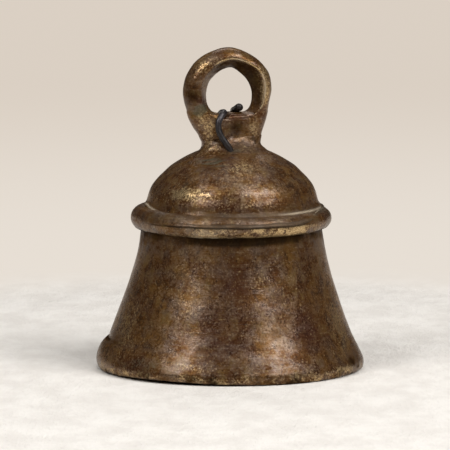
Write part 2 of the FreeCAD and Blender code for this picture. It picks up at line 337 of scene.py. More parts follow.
def make_skirt():
    """The flared bell, with its lip rolled out further on the left than on the right."""
    # the outside, as (radius on the left, radius on the right, height)
    outside = [
        (RIM - 1.2, RIM - 1.2, 0.0), (RIM - 0.45, RIM - 0.45, 0.35), (RIM - 0.05, RIM - 0.1, 1.3),
        (40.25, 39.9, 2.7), (40.2, 39.45, 3.9), (39.9, 38.9, 5.1), (39.4, 38.3, 6.35), (38.7, 37.65, 7.6),
        (37.55, 37.05, 8.8), (36.75, 36.75, 9.4), (36.5, 36.45, 10.0), (34.9, 34.65, 14.5),
        (32.6, 32.5, 20.9), (30.2, 30.1, 28.1), (28.15, 28.2, 35.4),
        (BEAD_TIP - 3.05, BEAD_TIP - 3.05, SHOULDER - 0.6),
        (BEAD_TIP - 3.3, BEAD_TIP - 3.3, SHOULDER + 0.8),
    ]
    inside = [(BEAD_TIP - 6.3, SHOULDER + 0.8), (24.9, 35.5), (27.4, 27.0), (30.7, 17.5), (32.8, 11.0),
              (34.7, 4.0), (35.5, 0.9), (35.9, 0.15), (36.4, 0.0)]
    face = [(36.6, 0.0), (RIM - 1.45, 0.0)]
    outline = np.vstack([
        smooth_line(outside, 0.36), smooth_line([(r, r, z) for r, z in inside], 0.9),
        smooth_line([(r, r, z) for r, z in face], 0.4),
    ])

    def place(row, angle):
        left, right, z = outline[row].T
        share = 1 - ((1 - np.cos(angle)) / 2) ** 8
        radius = left * (1 - share) + right * share
        placed = polar(radius, angle, z)
        radius = radius + 0.22 * noise(placed, 21.0, 3) + 0.07 * noise(placed, 7.0, 4)
        near_rim = np.exp(-z / 2.2)
        radius += near_rim * (0.16 * fractal(placed, 4.0, 6) + 0.05 * noise(placed, 0.9, 8))
        lifted = 0.75 * turn_hump(placed, -122, 30) + 0.2 * turn_hump(placed, 60, 40)
        ragged = 0.10 * fractal(placed * [1, 1, 0.2], 2.4, 9) + 0.07
        return leaned(polar(radius, angle, z + near_rim * (lifted + np.clip(ragged, 0, 1))))

    piece = turned_mesh("skirt_casting", place, rows=len(outline), segments=490)

    def height(points):
        band = rise(points[:, 2], 3.2, 1.6)
        pitted = pits(points, 1.5, 12) * rise(fractal(points, 9.0, 13), 0.1, 0.6)
        return (0.022 * fractal(points, 1.6, 11, 3) - 0.07 * pitted
                - band * (0.10 * pits(points, 1.1, 15) + 0.05 * fractal(points, 0.9, 16, 2)))

    points, _ = roughened(piece, height)
    y, z = points[:, 1], points[:, 2]
    outer = rise(np.hypot(points[:, 0], y) - (38.6 - 0.36 * z), 0, 1)
    # painted shade: a dark band just under the bead, strongest at the front, and the top of the skirt
    # darker below the bead
    painted_shade_under_bead = rise(z, SHOULDER - 3.4, SHOULDER - 1.4) * (0.25 + turn_hump(points, -86, 34))
    painted_shade_under_bead += 0.4 * rise(z, SHOULDER - 9, SHOULDER - 3)
    rim_band = rise(z + 1.1 * fractal(points, 4.0, 17), 3.9, 1.9) * rise(y, 4, -4)
    # painted shade: a dark line along the lip's crease on the left
    painted_crease_shade = hump(z, 9.2, 0.55) * turn_hump(points, 180, 42)
    chips = rise(fractal(points, 2.4, 19), 0.12, 0.45) * rim_band
    # Besides wear on the front of the rim, the gold spots at (8.4, -28, 30.5), (-12, -30, 24) and (-11,
    # -36, 5.2) are painted highlights, and those at (-31, -18, 16) and (33, -14, 16) are painted light
    # that brightens the skirt's left and right edges
    wear = 0.46 * rim_band * np.clip(0.7 + 1.3 * fractal(points, 3.2, 18), 0, 1.2) + blobs(
        points, (0.32, (8.4, -28, 30.5), (2.8, 8, 3.4)), (0.15, (18, -27, 24), (6, 12, 8)),
        (0.22, (-12, -30, 24), (3.8, 12, 13)), (0.38, (-31, -18, 16), (4, 12, 14)),
        (0.40, (33, -14, 16), (4, 12, 14)), (0.12, (22, -30, 5), (9, 9, 2.4)),
        (0.35, (-11, -36, 5.2), (7, 9, 1.6)))
    red = blobs(
        points, (1.0, (1, -31, 27), (6, 9, 8)), (1.0, (-3, -35, 12), (8, 9, 6)),
        (0.8, (23, -25, 15), (7, 9, 9)), (0.4, (-27, -25, 6), (9, 9, 4)))
    # darker inside the bell and at the rim's chips; the first three spots, down the front middle, are
    # painted shade, the last a dark patch at the lip's right end
    dirt = 0.95 * painted_shade_under_bead + painted_crease_shade + (1 - outer) * 0.55 + 0.75 * chips + blobs(
        points, (0.45, (0, -30, 31), (6, 8, 8)), (0.35, (-2, -35, 12), (6, 8, 4)),
        (0.3, (2, -38, 6), (16, 8, 3)), (0.9, (36.5, -15, 4.2), (2.4, 7, 2.2)))
    green = blobs(
        points, (0.55, (-25, -28, 4.5), (6, 6, 3)), (0.25, (-20, -27, 26), (6, 8, 9)),
        (0.25, (-13.5, -34, 17), (5, 6, 3)))
    paint_patina(piece, points, wear, dirt, red, green)
    return piece


def make_bead():
    """The rolled bead, fatter on the left than on the right."""
    angles = np.radians(np.linspace(-112, 92, 62))
    tube = np.stack([np.cos(angles), np.sin(angles)], axis=-1)
    inner = smooth_line([(-0.1, 1.0), (-1.15, 0.75), (-1.2, -0.7), (-0.45, -0.93)], 0.25)
    outline = np.vstack([tube, inner[1:-1]])

    def place(row, angle):
        across, up = outline[row].T
        around = polar(BEAD_RADIUS, angle, 0 * angle)
        thick = 3.25 - 0.42 * np.cos(angle) + 0.12 * noise(around, 9.0, 21) + 0.06 * noise(around, 3.0, 22)
        radius = BEAD_TIP - thick + 0.12 * noise(around, 16.0, 23) + thick * across
        z = BEAD_Z - 0.15 * np.cos(angle) + thick * 0.98 * up + 0.12 * noise(around, 13.0, 24)
        return leaned(polar(radius, angle, z)) + np.array([-0.25, 0, 0])

    piece = turned_mesh("bead_ring", place, rows=len(outline), segments=700)
    lip_z = BEAD_Z - 2.6

    def height(points):
        gritty = rise(turn_hump(points, -65, 45), 0.1, 0.7)
        edge = hump(points[:, 2], lip_z, 0.45)
        return (0.05 * fractal(points, 1.3, 25, 3) - (0.06 + 0.12 * gritty) * pits(points, 1.1, 27)
                + 0.10 * edge * (0.6 + 0.8 * noise(points, 2.6, 28)))

    points, normals = roughened(piece, height)
    z, down = points[:, 2], -normals[:, 2]
    edge = hump(z, lip_z, 0.5)
    front = 1.25 * turn_hump(points, -56, 24) + 0.5 * turn_hump(points, -104, 20)
    below = rise(z, GROOVE_Z + 0.3, GROOVE_Z - 0.1)
    covered = seam_drop(np.radians(turn_of(points)))
    patchy = np.clip(0.85 + fractal(points, 1.8, 29), 0, 1.1)
    wear = front * (0.15 + 0.85 * below) * patchy + 0.6 * edge * patchy * turn_hump(points, -95, 42)
    # painted shade: darker on the bead's downward faces and in a line along the groove under the crown's
    # flange
    dirt = rise(down, 0.6, 0.95) * 0.9 + 0.4 * turn_hump(points, -150, 25) * (1 - rise(down, -0.75, 0.5))
    dirt += 0.9 * hump(z, GROOVE_Z, 0.22) * covered
    red = 0.5 * turn_hump(points, 175, 22) + 0.35 * turn_hump(points, -20, 12)
    green = 0.5 * turn_hump(points, -8, 12) + 0.25 * turn_hump(points, -140, 20)
    paint_patina(piece, points, wear, dirt, red, green)
    # painted highlight: a whitish streak on the bead's left front, stored in the pale mark
    painted_whitish_highlight = 0.3 * turn_hump(points, -106, 13) * below * np.clip(0.6 + 1.2 * noise(points, 1.5, 26), 0, 1)
    paint(piece, grey=0.35 * covered * (1 - below), pale=painted_whitish_highlight)
    return piece


# The outside of the dome from its flange up to the seat of the neck, as (radius, height) in front and
# (radius, height) at the sides and back, where the flange ends higher.
CROWN_OUTSIDE = [
    (27.6, 45.6, 26.4, 47.0), (29.6, 45.4, 27.6, 46.9), (30.5, 45.6, 28.1, 47.2),
    (30.5, 46.1, 28.15, 47.7), (29.7, 46.7, 27.8, 48.2), (28.5, 47.05, 27.2, 48.6),
    (27.3, 47.6, 26.75, 49.05), (26.5, 48.4, 26.3, 49.6), (26.0, 49.5, 25.8, 50.4),
    (25.6, 51.4, 25.4, 51.7),
] + [(r, z, r, z) for r, z in (
    (24.9, 53.4), (24.0, 55.3), (22.5, 57.2), (20.8, 58.9), (18.8, 60.8), (16.4, 62.4), (14.0, 63.8),
    (11.6, 64.9), (9.0, 65.6), (5.0, 66.0), (1.2, 66.1),
)]
CROWN_INSIDE = [
    (1.2, 62.3), (8.0, 61.6), (14.2, 59.6), (18.9, 56.2), (21.6, 52.4), (22.6, 49.2), (23.0, 46.4),
]
CROWN_SHIFT = 0.12                   # how far the dome sits to +X of the bell's axis


def seam_drop(angle):
    """1 in front, where the crown's flange comes down over the bead, 0 at the sides and back."""
    away = np.abs((np.degrees(angle) + 90 + 180) % 360 - 180)
    return 1 - rise(away, 34, 74)


def seam_ridge(points):
    """The run of solder that crosses the ledge on the left."""
    turn = turn_of(points)
    middle = np.interp(turn, [-165, -130, -100, -62, -15], [49.9, 47.7, 47.4, 48.6, 49.0])
    left = rise(turn, -179, -168) * rise(turn, -112, -128)
    right = rise(turn, -62, -45) * rise(turn, -4, -16)
    broken = np.clip(0.75 + 1.3 * noise(points, 3.4, 47), 0.1, 1)
    return hump(points[:, 2], middle, 0.22) * (left + 0.5 * right * broken)


def make_crown():
    """The hollow dome, with the flange that comes down over the bead in front."""
    outline = np.vstack([
        smooth_line(CROWN_OUTSIDE, 0.42), smooth_line([(r, z, r, z) for r, z in CROWN_INSIDE], 1.1),
        smooth_line([(23.6, 46.0, 23.6, 47.2), (27.2, 45.9, 26.3, 47.3)], 0.8),
    ])

    def place(row, angle):
        front_radius, front_z, back_radius, back_z = outline[row].T
        drop = seam_drop(angle)
        radius = front_radius * drop + back_radius * (1 - drop)
        z = front_z * drop + back_z * (1 - drop)
        placed = polar(radius, angle, z)
        swell = 0.12 * noise(placed, 15.0, 31) + 0.05 * noise(placed, 5.0, 32)
        flange = rise(z, 50.0, 48.2) * rise(radius, 25.0, 27.5)
        around = polar(SEAM_RADIUS, angle, 0 * angle)
        swell += flange * (0.20 * fractal(around, 7.0, 33) + 0.06 * noise(around, 1.6, 34))
        radius = radius + swell * rise(radius, 2, 10)
        z = z + flange * 0.14 * noise(around, 4.0, 35)
        return leaned(polar(radius, angle, z)) + np.array([CROWN_SHIFT, 0, 0])

    piece = turned_mesh("crown_casting", place, rows=len(outline), segments=540)

    def height(points):
        scratched = blob(points, (-5.5, -15, 62.5), (6, 7, 2.6))
        scores = noise(points @ np.array([[0.25, 0, 0.9], [0, 0.5, 0], [-0.55, 0, 2.6]]).T, 0.8, 41)
        notch = hump(points[:, 2] - 0.35 * points[:, 0], 65.3, 0.3)
        return (0.025 * fractal(points, 1.8, 42, 3)
                - 0.05 * pits(points, 1.3, 43) * rise(fractal(points, 8.0, 44), 0, 0.5)
                - scratched * (0.10 * np.clip(scores, 0, 1) + 0.05 * pits(points, 1.2, 45))
                + 0.26 * seam_ridge(points) * (0.7 + 0.6 * noise(points, 1.7, 46))
                + 0.16 * blob(points, (-13.5, -21, 54.4), (8, 9, 0.8))
                - 0.12 * blob(points, (-13.5, -21, 56.3), (9, 9, 0.9))
                - 0.22 * notch * blob(points, (-5, -12, 64), (3.2, 6, 3)))

    points, normals = roughened(piece, height)
    x, z = points[:, 0], points[:, 2]
    inside = rise(normals[:, 2] + np.hypot(x, points[:, 1]) / 60, 0.1, -0.1)
    # The first two spots are painted highlights where the dome's left and right highlights fall, over real
    # wear on the left ridge
    wear = blobs(
        points, (0.75, (-13.5, -21, 54.6), (7.5, 9, 2.0)), (0.10, (8, -22, 56), (14, 12, 5)),
        (0.45, (3, -15, 62), (6, 8, 2.4)), (0.18, (2, -25, 51.5), (16, 6, 1.6)))
    red = blobs(
        points, (0.8, (-4, -25, 51.5), (9, 6, 1.8)), (0.6, (2, -14, 62.8), (6, 7, 2)),
        (0.5, (15, -20, 51.8), (8, 8, 2)), (0.35, (-17, -17, 60), (5, 8, 3)))
    lines = noise(points @ np.array([[0.2, 0, 1], [0, 0.5, 0], [-0.4, 0, 2.4]]).T, 1.0, 48)
    scratches = np.clip(0.4 + 1.6 * lines, 0, 1.2) * blob(points, (-5.0, -14.5, 63.2), (5.0, 7, 1.7))
    green = 1.2 * scratches + blobs(
        points, (0.4, (-15.0, -17, 57.6), (4, 7, 1.5)), (0.25, (16, -14, 60), (7, 9, 4)))
    # painted shade: darker along the flange's lower edge where it overhangs the bead, and along the notch
    # near the neck; the mark also darkens the cove and the inside of the dome
    groove = 47.75 - 1.95 * seam_drop(np.radians(turn_of(points)))
    edge = rise(z, groove + 0.15, groove - 0.2)
    cove = hump(z, 50.3, 0.7) * (1 - 0.5 * rise(x, 6, 20))
    dirt = 0.35 * cove + 0.6 * inside + 0.9 * edge + blobs(
        points, (0.6, (-3.0, -12.5, 64.4), (4.5, 6, 0.7)), (0.35, (-7.5, -16, 62.2), (3.0, 6, 1.6)))
    paint_patina(piece, points, wear, dirt, red, green)
    ledge = rise(z, 50.0, 49.0) * rise(turn_of(points), -125, -100)
    paint(piece, pale=seam_ridge(points) * 1.5, grey=0.9 * ledge)
    return piece


def make_solder():
    """The pale solder run unevenly along the corner between the crown's flange and the bead."""
    angles = np.radians(np.linspace(0, 360, 17)[:-1])

    def place(row, angle):
        drop = seam_drop(angle)
        around = polar(SEAM_RADIUS, angle, 0 * angle)
        amount = 0.30 + 0.22 * turn_hump(around, -138, 22) + 0.25 * turn_hump(around, -38, 22)
        amount += 0.3 * turn_hump(around, 180, 25)
        amount += 0.22 * fractal(around, 3.5, 51) + 0.1 * noise(around, 1.1, 52)
        amount = np.clip(amount * (1 - 0.5 * drop), 0.12, 1.0)
        corner_radius, corner_z = 27.45 + 2.5 * drop, 48.62 - 2.67 * drop
        radius = corner_radius + 0.12 * noise(around, 6.0, 53) + amount * 0.7 * np.cos(angles)[row]
        z = corner_z + 0.12 * noise(around, 5.0, 54) + amount * 0.5 * np.sin(angles)[row]
        return leaned(polar(radius, angle, z))

    piece = turned_mesh("solder_seam", place, rows=len(angles), segments=900)
    points, _ = roughened(piece, lambda p: 0.07 * fractal(p, 1.0, 55, 3) - 0.08 * pits(p, 0.8, 56))
    bright = 0.9 * turn_hump(points, -134, 18) + 0.8 * turn_hump(points, -38, 20)
    bright += 0.7 * turn_hump(points, 120, 60)
    paint(piece, wear=bright * (0.8 + 0.4 * fractal(points, 1.5, 57)), dirt=0.9 - 0.9 * bright)
    return piece


# ---------------- the hanging loop

# At each place round the loop, in (sideways, height): its outer edge, its ridge, and the hole's edge.
LOOP_STATIONS = np.array([
    ((-1.2, 96.4), (-0.9, 93.3), (-0.5, 90.4)),
    ((-6.6, 95.0), (-4.6, 92.2), (-3.2, 89.4)),
    ((-10.9, 91.9), (-7.9, 89.3), (-5.9, 87.0)),
    ((-13.5, 87.9), (-9.5, 86.1), (-6.9, 84.9)),
    ((-14.3, 83.2), (-9.7, 82.8), (-7.3, 82.2)),
    ((-13.4, 78.4), (-9.2, 80.0), (-6.9, 79.5)),
    ((-11.3, 73.5), (-7.6, 77.4), (-4.9, 76.9)),
    ((-6.0, 69.3), (-4.6, 75.4), (-2.8, 76.7)),
    ((0.4, 68.0), (0.3, 75.2), (0.2, 76.7)),
    ((7.0, 69.4), (4.9, 75.6), (3.4, 76.9)),
    ((10.5, 74.0), (8.2, 78.2), (5.7, 78.3)),
    ((11.7, 79.4), (9.5, 82.0), (6.6, 81.4)),
    ((12.4, 84.3), (9.7, 86.0), (6.3, 84.2)),
    ((11.5, 89.0), (8.5, 89.4), (5.1, 86.8)),
    ((8.1, 93.0), (5.4, 91.6), (3.0, 88.9)),
    ((3.6, 95.6), (2.1, 93.0), (1.2, 90.2)),
])
LOOP_CENTRE = np.array([-0.5, 84.0])
LOOP_DEPTH = 4.6
LOOP_BLUR = 4.0          # degrees over which the outlines are evened out
VOXEL = 0.17


def radii_by_angle(which, angles):
    """How far the loop's outer edge (0), ridge (1) or hole (2) is from its centre, at each angle."""
    ring = LOOP_STATIONS[:, which]
    closed = smooth_line(np.vstack([ring[-3:], ring, ring[:4]]), 0.3)
    off = closed - LOOP_CENTRE
    angle, radius = np.arctan2(off[:, 1], off[:, 0]), np.hypot(off[:, 0], off[:, 1])
    order = np.argsort(angle)
    even = np.linspace(-math.pi, math.pi, 361)[:-1]
    radius = np.interp(even, angle[order], radius[order], period=2 * math.pi)
    weights = np.exp(-(np.arange(-20, 21) / LOOP_BLUR) ** 2 / 2)
    wrapped = np.concatenate([radius[-20:], radius, radius[:20]])
    radius = np.convolve(wrapped, weights / weights.sum(), "valid")
    return np.interp(angles, even, radius, period=2 * math.pi)


def neck_field(u, v, z):
    """Below 0 inside the neck, which widens into the legs and is hollowed between them."""
    levels = [63.0, 65.4, 68.2, 72.4, 75.6, 78.0]
    middle = np.interp(z, levels, [0.3, 0.3, 0.35, -0.45, -0.8, -0.9])
    half_width = np.interp(z, levels, [8.7, 8.7, 8.85, 10.3, 11.1, 11.4])
    half_depth = np.interp(z, levels, [6.0, 6.0, 5.6, 5.0, 4.5, 4.3])
    across = np.abs((u - middle) / half_width)
    deep = np.abs(v / half_depth)
    roundness = 2.4
    field = ((across**roundness + deep**roundness) ** (1 / roundness) - 1) * half_depth
    front = rise(v, 1.0, -2.0)
    web = 1.75 * np.exp(-(((u - 1.8) / 3.6) ** 4) - ((z - 72.8) / 4.6) ** 4)
    left_bulge = 0.55 * hump(u, -5.2, 2.6) * hump(z, 67.4, 1.1)
    left_crease = 0.55 * hump(u, -4.6, 1.8) * hump(z, 69.0, 0.35)
    field += front * (web - left_bulge + left_crease)
    wire_notch = 1.3 * np.exp(-(((u + 2.2) / 1.35) ** 4))
    saddle = z - 76.9 + wire_notch + 0.3 * rise(v, 0, -4)
    return np.maximum(field, np.maximum(saddle, levels[0] + 1.2 - z))


def ring_field(u, v, z):
    """Below 0 inside the ring: round outside, with a ridge and a bevel down to the hole."""
    off_u, off_z = u - LOOP_CENTRE[0], z - LOOP_CENTRE[1]
    angle, far = np.arctan2(off_z, off_u), np.hypot(off_u, off_z)
    outer, ridge, hole = (radii_by_angle(which, angle) for which in range(3))
    depth = np.abs(v)
    round_part = (np.sqrt(((far - ridge) / (outer - ridge)) ** 2 + (depth / LOOP_DEPTH) ** 2) - 1)
    round_part = round_part * np.minimum(outer - ridge, LOOP_DEPTH)
    bevel = ridge - hole
    slope = bevel / np.hypot(bevel, LOOP_DEPTH)
    share = np.clip((far - hole) / bevel, 0, 1.2)
    bevel_part = (depth - LOOP_DEPTH * share**0.86) * slope
    in_hole = np.hypot(hole - far, depth)
    return np.where(far > ridge, round_part, np.where(far < hole, in_hole, bevel_part))


def blended(first, second, reach):
    """The union of two fields with a fillet of about this reach."""
    near = np.clip(0.5 + 0.5 * (second - first) / reach, 0, 1)
    return second * (1 - near) + first * near - reach * near * (1 - near)


def crown_field(x, y, z):
    """Below 0 under the surface of the dome."""
    outline = np.array([(r, h) for r, h, _, _ in CROWN_OUTSIDE if h > 51])[::-1]
    radius = np.hypot(x - CROWN_SHIFT - LEAN * z, y)
    return (z - np.interp(radius, outline[:, 0], outline[:, 1])) * 0.9


def loop_grid(low, high):
    """Coordinates of a grid of voxels, as three arrays that stretch to one another."""
    axes = [np.arange(a, b, VOXEL) for a, b in zip(low, high)]
    return np.meshgrid(*axes, indexing="ij", sparse=True)


def yawed(x, y, yaw=LOOP_YAW):
    """X and Y turned about the vertical, from the loop's own frame into the bell's."""
    return x * math.cos(yaw) - y * math.sin(yaw), x * math.sin(yaw) + y * math.cos(yaw)


def loop_mesh(name, field, low):
    """A piece from a field in the loop's own frame, turned into the bell's frame."""
    piece = field_mesh(name, field, low, VOXEL)
    points, _ = points_of(piece)
    set_points(piece, np.stack([*yawed(points[:, 0], points[:, 1]), points[:, 2]], axis=-1))
    relaxed(piece, 3)
    return piece


def make_loop():
    """The ring and its neck, one casting."""
    low, high = np.array([-15.6, -7.4, 64.0]), np.array([13.8, 7.4, 98.2])
    u, v, z = loop_grid(low, high)
    piece = loop_mesh("loop_casting", blended(ring_field(u, v, z), neck_field(u, v, z), 1.1), low)

    def height(points):
        return (0.16 * noise(points, 6.0, 61) + 0.07 * noise(points, 2.6, 62)
                + 0.03 * fractal(points, 1.1, 63, 2)
                - 0.07 * pits(points, 1.4, 64) * rise(fractal(points, 6.0, 65), 0, 0.5))

    points, _ = roughened(piece, height)
    x, z = points[:, 0], points[:, 2]
    u, v = yawed(x, points[:, 1], -LOOP_YAW)
    off_u, off_z = u - LOOP_CENTRE[0], z - LOOP_CENTRE[1]
    around, far = np.arctan2(off_z, off_u), np.hypot(off_u, off_z)
    ridge = radii_by_angle(1, around)
    # painted highlight: a bright line along the ridge over the upper left and top, put into the wear and
    # pale marks
    ridge_line = hump(far, ridge, 0.30) * rise(-v, 3.0, 4.0)
    painted_ridge_highlight = ridge_line * rise(around, -0.75, -0.3) * rise(around, 2.3, 1.9)
    wear = blobs(
        points, (0.62, (-6.2, -6, 71.5), (2.6, 4, 4.6)), (0.75, (10.6, -1, 84.5), (1.6, 5, 5.2)),
        (0.55, (-7, -4, 91.5), (4, 5, 2.6)), (0.5, (7.2, -4, 71), (2, 4, 4)),
        (0.45, (-8.5, -5, 76), (2, 4, 2)), (0.5, (9.5, -3, 89.2), (2.5, 4, 1.5)))
    wear = np.maximum(wear, 1.8 * painted_ridge_highlight * np.clip(0.8 + 0.9 * noise(points, 2.2, 69), 0, 1))
    red = blobs(
        points, (0.9, (1.5, -5, 76.0), (4, 3, 1.6)), (0.8, (-8.4, -5, 80.6), (1.6, 3, 1.4)),
        (0.4, (9, -3, 78), (2, 4, 4)))
    green = blobs(
        points, (1.3, (-9.0, -5, 78.2), (2.0, 4, 1.9)), (0.5, (12.2, 1, 84), (0.8, 4, 5)),
        (0.4, (2.2, -5, 72.4), (2.4, 3, 2.4)), (0.3, (-12.5, -2, 84), (1.6, 4, 5)))
    # painted shade: darker on the hole's bevel at the top and right, and in the recessed web between the
    # legs (the first spot below)
    bevel = rise(far - ridge, 0.0, -0.9) * (1 - 0.9 * ridge_line)
    shaded = rise(x + 0.5 * (z - LOOP_CENTRE[1]), -7, 3) * rise(z, 76, 80)
    dirt = 0.72 * bevel * shaded + blobs(
        points, (0.9, (2.0, -5, 72.5), (2.4, 3, 3.2)), (0.95, (-11.3, -4, 82.2), (2.6, 5, 3.6)),
        (0.35, (-6.5, -6, 68.4), (3.5, 4, 0.5)))
    paint_patina(piece, points, wear, dirt, red, green)
    paint(piece, pale=0.75 * painted_ridge_highlight * np.clip(0.6 + 1.3 * noise(points, 1.6, 70), 0, 1))
    return piece


def make_braze():
    """The rough fillet of brazing metal round the foot of the neck."""
    low, high = np.array([-13.5, -11.0, 62.6]), np.array([13.5, 11.0, 70.2])
    u, v, z = loop_grid(low, high)
    neck = neck_field(u, v, z)
    crown = crown_field(*yawed(u, v), z)
    lift = 0.9 * np.exp(-((np.maximum(neck, 0) / 1.8) ** 2)) * rise(v, 0, -3)
    fillet = blended(neck, crown - lift, 1.8) - 0.03
    field = np.maximum(np.maximum(fillet, neck - 3.4), np.maximum(-neck - 0.12, -crown - 0.12))
    piece = loop_mesh("neck_fillet", field, low)

    def height(points):
        pitted = pits(points, 0.95, 67) * rise(points[:, 0], -2, 2)
        return 0.12 * fractal(points, 1.5, 66, 3) - 0.20 * pitted

    points, _ = roughened(piece, height)
    wear = blobs(points, (0.35, (-5, -7, 66.5), (3.5, 4, 2)), (0.35, (5.5, -7, 66.5), (4, 4, 2)))
    red = 0.8 * blob(points, (5.0, -7, 67), (4.5, 4, 2))
    # painted shadow where the wire goes into the crown; the mark is also darker towards the back
    dirt = 0.6 * blob(points, (0.4, -8, 66), (2.0, 2.5, 1.6)) + 0.35 * rise(points[:, 1], -2, 2)
    green = 0.5 * blob(points, (1.2, -8, 66.2), (2.4, 3, 1.2))
    paint_patina(piece, points, wear, dirt, red, green)
    paint(piece, grey=0.85 * blob(points, (5.0, -7, 67.5), (5.5, 5, 2.4)))
    return piece


# ---------------- wire and clapper

WIRE_CREST = (-3, -6, 76)            # where the wire bends over the saddle; a painted highlight is put there


def paint_iron(piece, rust, size, seed, shine=0.0):
    """Stores how rusty the iron is, in patches of this size, and how strong a painted highlight is at
    WIRE_CREST.
    """
    points, _ = points_of(piece)
    # painted highlight at the wire's bend, stored as shine
    worn = shine * blob(points, WIRE_CREST, (2.5, 4, 3))
    paint(piece, rust=rust + 0.5 * fractal(points, size, seed), shine=worn)
    return piece


def make_wire():
    """The black iron wire from its hidden end, over the saddle, through the crown and back."""
    side_y, bar_z = 7.3, (link_low[2] + link_high[2]) / 2 + 1.45
    hang_x = (ball_low[0] + ball_high[0]) / 2
    route = [
        (-3.4, 7.0, 72.0), (-3.5, 6.3, 74.6), (-2.7, 4.4, 76.2), (-2.1, 1.2, 76.8), (-1.7, -2.2, 77.1),
        (-2.0, -4.6, 76.9), (-2.9, -6.1, 75.8), (-3.45, -6.8, 74.3), (-3.3, -7.0, 72.2),
        (-2.3, -7.15, 69.9), (-0.9, -7.2, 67.9), (0.0, -7.2, 66.3), (hang_x, -side_y, 63.5),
        (hang_x, -side_y, 60.6),
        (hang_x, -6.2, 58.3), (hang_x, -3.6, bar_z), (hang_x, 0.0, bar_z), (hang_x, 3.6, bar_z),
        (hang_x, 6.2, 58.3), (hang_x, side_y, 60.6), (hang_x, side_y, 63.5), (hang_x, side_y, 66.6),
        (1.0, 7.1, 71.5), (1.1, 6.4, 74.9), (1.1, 4.6, 76.9), (1.8, 2.0, 77.7), (2.7, 0.0, 78.5),
    ]
    radii = [0.9, 0.92, 0.94, 0.96, 0.96, 0.93, 0.88, 0.86, 0.87, 0.90, 0.93, 0.98] + [1.0] * 12
    radii += [1.02, 1.08, 1.18]
    piece = tube_mesh("wire_hanger", route, radii, sides=32, step=0.2, seed=81, flatten=0.05)
    return paint_iron(piece, rust=0.35, size=2.5, seed=82, shine=1.0)


def make_link():
    """The iron ring that the clapper hangs from."""
    thick = 1.0
    centre, major = (link_low + link_high) / 2, (link_high[0] - link_low[0]) / 2 - thick
    turns = np.linspace(0, 2 * math.pi, 25)[:-1]

    def place(row, angle):
        flat = polar(major + thick * np.cos(turns)[row], angle, thick * np.sin(turns)[row])
        return centre + flat[:, [0, 2, 1]]

    piece = turned_mesh("link_ring", place, rows=len(turns), segments=120)
    roughened(piece, lambda p: 0.03 * fractal(p, 1.2, 84, 3) - 0.03)
    return paint_iron(piece, rust=0.5, size=2.0, seed=85)


def make_stem():
    """The clapper's rod, bent into a closed eye at the top."""
    hang_x, eye_z, eye_radius = (stem_low[0] + stem_high[0]) / 2, stem_high[2] - 3.6, 2.6
    turns = np.radians(np.linspace(-58, 238, 15))[1:-1]
    eye = [(eye_radius * math.cos(t), eye_z + eye_radius * math.sin(t)) for t in turns]
    rod = [(0.0, ball_low[2] + 7.0), (0.0, 30.0), (0.0, 42.0), (0.2, 47.0), (0.9, eye_z - 3.1)]
    route = [(hang_x, y, z) for y, z in rod + eye + [(-0.9, eye_z - 2.9)]]
    radii = [1.5, 1.5, 1.45, 1.3, 1.0] + [0.98] * (len(route) - len(rod))
    piece = tube_mesh("stem_rod", route, radii, sides=24, step=0.3, seed=86)
    return paint_iron(piece, rust=0.5, size=2.6, seed=87)


def make_ball():
    """The striker: a cast ball with a collar at the top, worn in a belt where it strikes."""
    centre_x, radius = (ball_low[0] + ball_high[0]) / 2, (ball_high[0] - ball_low[0]) / 2
    middle = ball_low[2] + radius
    turns = np.radians(np.linspace(-88, 62, 70))
    profile = np.stack([radius * np.cos(turns), middle + radius * np.sin(turns)], axis=-1)
    top = middle + 10.9
    collar = smooth_line([profile[-1], (3.4, middle + 8.6), (2.6, middle + 10.2), (2.0, top)], 0.3)
    core = smooth_line([(1.2, top), (1.2, middle), (0.35, middle - radius + 0.1)], 1.2)
    outline = np.vstack([profile, collar[1:], core])

    def place(row, angle):
        return polar(outline[row, 0], angle, outline[row, 1]) + np.array([centre_x, 0, 0])

    piece = turned_mesh("ball_striker", place, rows=len(outline), segments=180)
    points, _ = roughened(piece, lambda p: 0.06 * fractal(p, 3.0, 88) - 0.05 * pits(p, 1.4, 89) - 0.06)
    belt = hump(points[:, 2], middle, 4.0)
    paint_patina(piece, points, wear=0.8 * belt, dirt=0.3, red=0.3 * belt, green=0.0)
    return piece


# ---------------- materials

DARK_PATINA = (0.072, 0.028, 0.008)
GOLDEN_PATINA = (0.134, 0.064, 0.018)
OLIVE_PATINA = (0.140, 0.084, 0.027)
UMBER_PATINA = (0.034, 0.015, 0.007)
LILAC_PATINA = (0.096, 0.062, 0.041)
RED_PATINA = (0.060, 0.021, 0.012)
PALE_SPECKS = (0.260, 0.180, 0.095)
DARK_SPECKS = (0.016, 0.009, 0.006)
WORN_BRASS = (0.280, 0.180, 0.080)
RUBBED_BRASS_AND_HIGHLIGHT = (0.640, 0.470, 0.250)
VERDIGRIS = (0.078, 0.090, 0.064)
DIRT_AND_SHADE = (0.008, 0.005, 0.003)
LEDGE_GREY = (0.072, 0.055, 0.038)
PALE_SOLDER_AND_HIGHLIGHT = (0.550, 0.460, 0.340)
EDGE_TINT = (0.78, 0.71, 0.65)
DULL_SOLDER = (0.150, 0.105, 0.062)
GREY_SOLDER = (0.300, 0.235, 0.150)
RUBBED_SOLDER = (0.620, 0.520, 0.370)
SOLDER_DIRT = (0.060, 0.038, 0.020)
BLACK_IRON = (0.010, 0.010, 0.012)
GREY_IRON = (0.038, 0.034, 0.034)
RUST = (0.050, 0.028, 0.016)
PAINTED_IRON_HIGHLIGHT = (0.075, 0.070, 0.078)
PAPER_SHADED_HOLLOWS = (0.760, 0.728, 0.686)
PAPER_LIT_CRESTS = (0.840, 0.812, 0.770)
BACKDROP_NEAR = (0.800, 0.735, 0.660)
BACKDROP_FAR = (0.705, 0.628, 0.548)
NO_COLOUR = (0.0, 0.0, 0.0)


